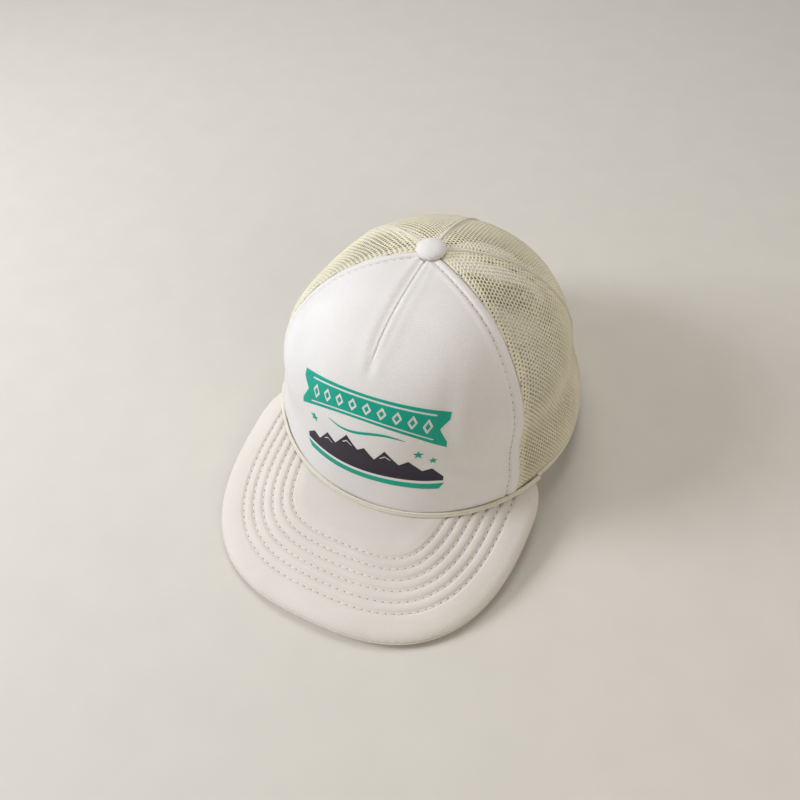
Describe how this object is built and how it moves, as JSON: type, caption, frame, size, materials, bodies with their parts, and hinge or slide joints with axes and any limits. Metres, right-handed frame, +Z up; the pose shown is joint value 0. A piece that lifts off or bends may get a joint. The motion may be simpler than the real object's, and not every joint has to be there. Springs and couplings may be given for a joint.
{
  "type": "trucker cap",
  "caption": "Five-panel trucker cap: foam-backed printed front, net sides and back, quilted padded visor, cloth-covered button, sweatband and a peg-and-hole snap strap under a rear arch.",
  "frame": {"origin": "bottom centre of the bounding box, on the surface the cap stands on", "axes": "+Z up through the crown, visor towards -Y, wearer's left side towards +X"},
  "size_m": [0.1794, 0.2632, 0.1278],
  "materials": {
    "face_cloth": "matt brushed polyester",
    "foam": "matt open foam",
    "mesh_net": "slightly shiny knitted net",
    "board": "smooth",
    "cord_trim": "fine woven cord",
    "band_cloth": "plain weave",
    "tape": "narrow woven tape",
    "binding": "folded knit binding",
    "strap_plastic": "satin moulded plastic",
    "button_metal": "pressed steel"
  },
  "bodies": {
    "cap": {"front_panel_face": "face_cloth", "front_panel_foam": "foam", "side_mesh_left": "mesh_net", "side_mesh_right": "mesh_net", "rear_mesh_left": "mesh_net", "rear_mesh_right": "mesh_net", "visor_top_cover": "face_cloth", "visor_foam": "foam", "visor_board": "board", "visor_under_cover": "face_cloth", "visor_seam_piping": "cord_trim", "sweatband": "band_cloth", "seam_tape_front_left": "tape", "seam_tape_front_right": "tape", "seam_tape_rear_left": "tape", "seam_tape_rear_right": "tape", "seam_tape_center_back": "tape", "care_label": "tape", "base_binding_left": "binding", "base_binding_right": "binding", "rear_opening_binding": "binding", "strap_holed_fixed": "strap_plastic", "strap_pegged_fixed": "strap_plastic", "button_cover": "face_cloth", "button_shell": "button_metal", "button_prong": "button_metal", "button_washer": "button_metal"},
    "holed_strap_end": {"strap_holed_free": "strap_plastic"},
    "pegged_strap_end": {"strap_pegged_free": "strap_plastic"}
  },
  "joints": [
    {"name": "holed_strap_swing", "type": "hinge", "parent": "cap", "child": "holed_strap_end", "pos_m": [0.0224, 0.12985, 0.0098], "axis": [0, 0, -1], "range_deg": [0, 110]},
    {"name": "pegged_strap_swing", "type": "hinge", "parent": "cap", "child": "pegged_strap_end", "pos_m": [-0.0224, 0.1279, 0.0098], "axis": [0, 0, -1], "range_deg": [0, 90]}
  ]
}
